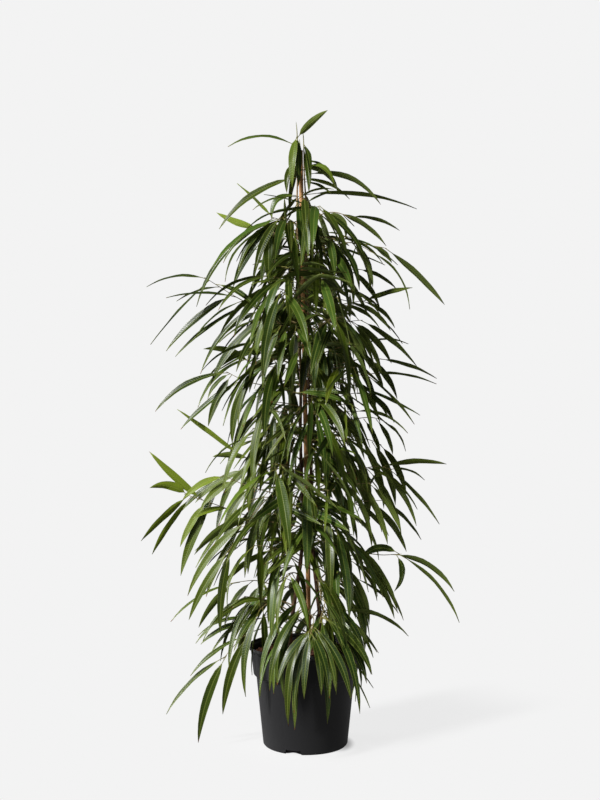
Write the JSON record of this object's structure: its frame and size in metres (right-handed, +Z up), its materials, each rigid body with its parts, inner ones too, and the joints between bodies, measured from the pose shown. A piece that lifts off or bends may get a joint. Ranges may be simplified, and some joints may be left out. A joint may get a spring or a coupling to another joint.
{
  "type": "potted banana leaf fig",
  "caption": "Tall narrow pot plant: leafy stems tied to a bamboo cane, with long drooping leaves, in a round tapered nursery pot.",
  "frame": {"origin": "centre of the pot's flat base, on the surface it stands on", "axes": "+Z up along the pot's axis, -Y towards the viewer of the picture, +X to the right"},
  "size_m": [0.581, 0.404, 1.156],
  "materials": {
    "pot_plastic": "matt moulded black plastic",
    "bark": "loose reddish-brown bark chips",
    "bamboo": "dry orange-brown bamboo",
    "tie_plastic": "dark green soft plastic",
    "leaf": "dark green leathery leaf with a soft gloss"
  },
  "bodies": {
    "root": {"pot": "pot_plastic", "soil": "bark", "cane": "bamboo", "tie_1": "tie_plastic", "tie_2": "tie_plastic", "tie_3": "tie_plastic", "tie_4": "tie_plastic", "stem_left": "leaf", "stem_right": "leaf", "stem_back": "leaf"}
  },
  "joints": []
}
